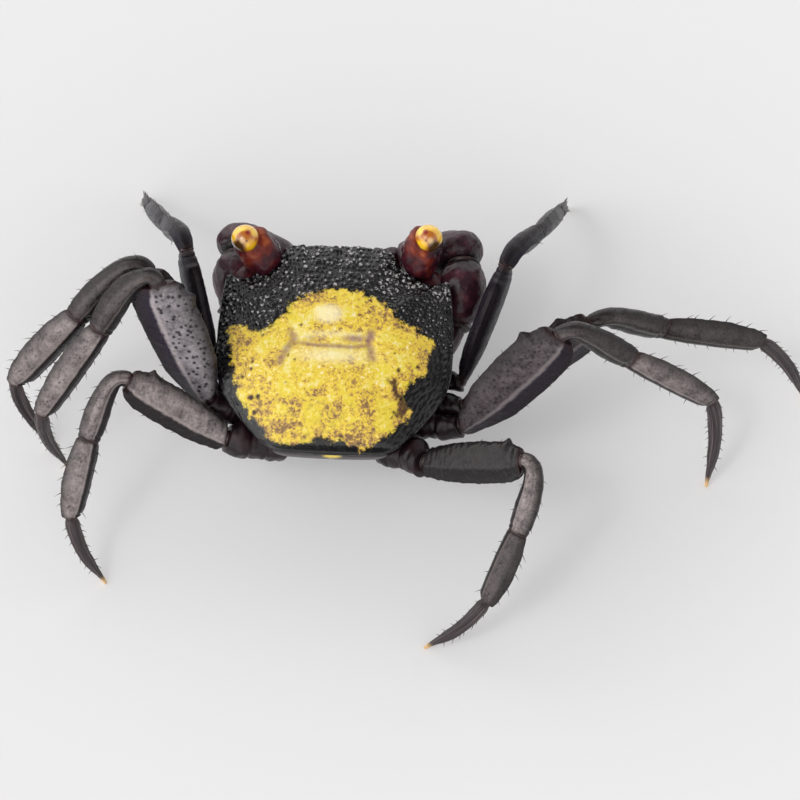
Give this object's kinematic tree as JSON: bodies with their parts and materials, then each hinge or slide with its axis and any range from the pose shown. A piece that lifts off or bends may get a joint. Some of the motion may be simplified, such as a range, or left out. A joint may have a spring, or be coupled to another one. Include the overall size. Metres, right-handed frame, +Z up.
{
  "type": "land crab",
  "caption": "Small black land crab with a yellow patch on its square shell, yellow eyes on short stalks, folded claws and four pairs of long bent walking legs, standing",
  "frame": {"origin": "on the floor, under the middle of the crab's bounding box", "axes": "+Y is the way the crab faces, +X its right side, +Z up"},
  "size_m": [0.0404, 0.0264, 0.0126],
  "materials": {
    "black_shell": "glossy black cuticle with pustules and a mottled yellow patch",
    "grey_leg_cuticle": "satin dark grey cuticle, purple in the shade, with dark freckles",
    "brown_joint_cuticle": "satin dark reddish brown cuticle",
    "purple_claw_cuticle": "satin dark aubergine cuticle",
    "red_brown_stalk": "glossy, slightly translucent red brown cuticle",
    "yellow_cornea": "glossy yellow eye with an orange swirl"
  },
  "bodies": {
    "root": {"abdomen": "brown_joint_cuticle", "antenna_left": "red_brown_stalk", "antenna_right": "red_brown_stalk", "carapace": "black_shell", "claw_left_carpus": "purple_claw_cuticle", "claw_left_finger": "purple_claw_cuticle", "claw_left_merus": "purple_claw_cuticle", "claw_left_palm": "purple_claw_cuticle", "claw_right_carpus": "purple_claw_cuticle", "claw_right_finger": "purple_claw_cuticle", "claw_right_merus": "purple_claw_cuticle", "claw_right_palm": "purple_claw_cuticle", "cornea_left": "yellow_cornea", "cornea_right": "yellow_cornea", "eyestalk_left": "red_brown_stalk", "eyestalk_right": "red_brown_stalk", "leg1_left_base": "brown_joint_cuticle", "leg1_left_carpus": "grey_leg_cuticle", "leg1_left_dactyl": "grey_leg_cuticle", "leg1_left_merus": "grey_leg_cuticle", "leg1_left_propodus": "grey_leg_cuticle", "leg1_right_base": "brown_joint_cuticle", "leg1_right_carpus": "grey_leg_cuticle", "leg1_right_dactyl": "grey_leg_cuticle", "leg1_right_merus": "grey_leg_cuticle", "leg1_right_propodus": "grey_leg_cuticle", "leg2_left_base": "brown_joint_cuticle", "leg2_left_carpus": "grey_leg_cuticle", "leg2_left_dactyl": "grey_leg_cuticle", "leg2_left_merus": "grey_leg_cuticle", "leg2_left_propodus": "grey_leg_cuticle", "leg2_right_base": "brown_joint_cuticle", "leg2_right_carpus": "grey_leg_cuticle", "leg2_right_dactyl": "grey_leg_cuticle", "leg2_right_merus": "grey_leg_cuticle", "leg2_right_propodus": "grey_leg_cuticle", "leg3_left_base": "brown_joint_cuticle", "leg3_left_carpus": "grey_leg_cuticle", "leg3_left_dactyl": "grey_leg_cuticle", "leg3_left_merus": "grey_leg_cuticle", "leg3_left_propodus": "grey_leg_cuticle", "leg3_right_base": "brown_joint_cuticle", "leg3_right_carpus": "grey_leg_cuticle", "leg3_right_dactyl": "grey_leg_cuticle", "leg3_right_merus": "grey_leg_cuticle", "leg3_right_propodus": "grey_leg_cuticle", "leg4_left_base": "brown_joint_cuticle", "leg4_left_carpus": "grey_leg_cuticle", "leg4_left_dactyl": "grey_leg_cuticle", "leg4_left_merus": "grey_leg_cuticle", "leg4_left_propodus": "grey_leg_cuticle", "leg4_right_base": "brown_joint_cuticle", "leg4_right_carpus": "grey_leg_cuticle", "leg4_right_dactyl": "grey_leg_cuticle", "leg4_right_merus": "grey_leg_cuticle", "leg4_right_propodus": "grey_leg_cuticle", "maxilliped_left": "purple_claw_cuticle", "maxilliped_right": "purple_claw_cuticle", "sternum": "brown_joint_cuticle"}
  },
  "joints": []
}
